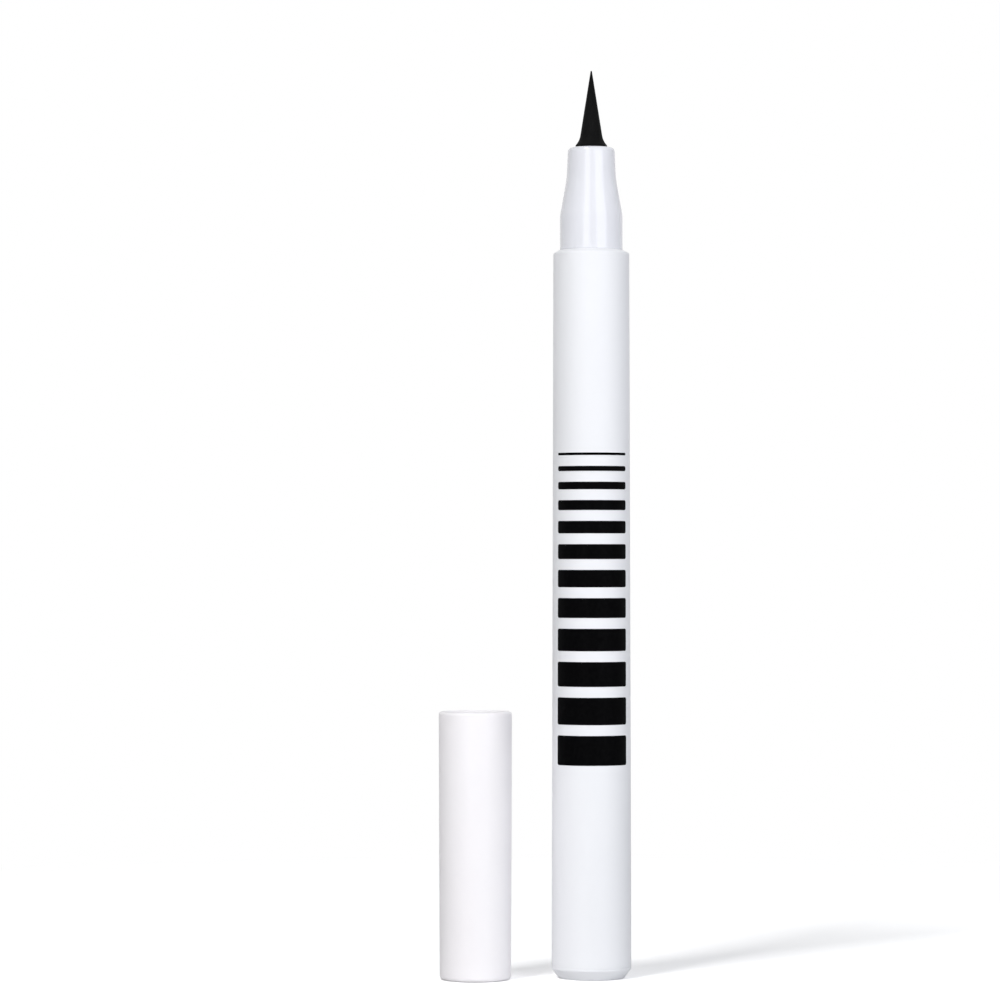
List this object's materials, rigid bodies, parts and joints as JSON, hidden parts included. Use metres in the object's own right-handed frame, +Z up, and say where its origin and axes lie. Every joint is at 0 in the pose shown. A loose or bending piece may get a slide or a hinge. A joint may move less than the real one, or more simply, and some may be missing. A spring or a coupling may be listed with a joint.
{
  "type": "liquid eyeliner pen",
  "caption": "Slim liquid eyeliner pen standing nib up on its chamfered foot, with its cap taken off and standing mouth up beside it.",
  "frame": {"origin": "centre of the flat foot that the pen stands on", "axes": "+Z up the pen's axis to its nib, +X to the right and -Y to the viewer; the cap stands at -X, slightly to the front"},
  "size_m": [0.0265, 0.0128, 0.1247],
  "materials": {
    "barrel_plastic": "satin moulded white",
    "collar_plastic": "polished moulded white",
    "cap_plastic": "satin moulded white",
    "inner_plastic": "natural, slightly milky",
    "nib_fibre": "ground bonded fibre, soaked black",
    "feed_fibre": "bonded fibre rod",
    "seal_rubber": "moulded",
    "ball_steel": "polished",
    "spring_steel": "drawn wire"
  },
  "bodies": {
    "pen": {"barrel": "barrel_plastic", "tail_plug": "barrel_plastic", "tail_seal": "seal_rubber", "tank_plug": "inner_plastic", "tank_seal": "seal_rubber", "collector": "inner_plastic", "feed_core": "feed_fibre", "front_collar": "collar_plastic", "nib_holder": "inner_plastic", "nib": "nib_fibre"},
    "ball": {"mixing_ball": "ball_steel"},
    "cap": {"cap_shell": "cap_plastic", "cap_spring": "spring_steel"},
    "cap_liner": {"inner_cap": "inner_plastic"}
  },
  "joints": [
    {"name": "cap_lift", "type": "slide", "parent": "pen", "child": "cap", "axis": [0, 0, 1], "range_m": [0, 0.13]},
    {"name": "inner_cap_travel", "type": "slide", "parent": "cap", "child": "cap_liner", "axis": [0, 0, -1], "range_m": [0, 0.0012], "stiffness_N_per_m": 150, "springref_m": -0.002, "deforming": ["cap_spring"]},
    {"name": "mixing_ball_travel", "type": "slide", "parent": "pen", "child": "ball", "axis": [0, 0, 1], "range_m": [0, 0.0395]}
  ]
}
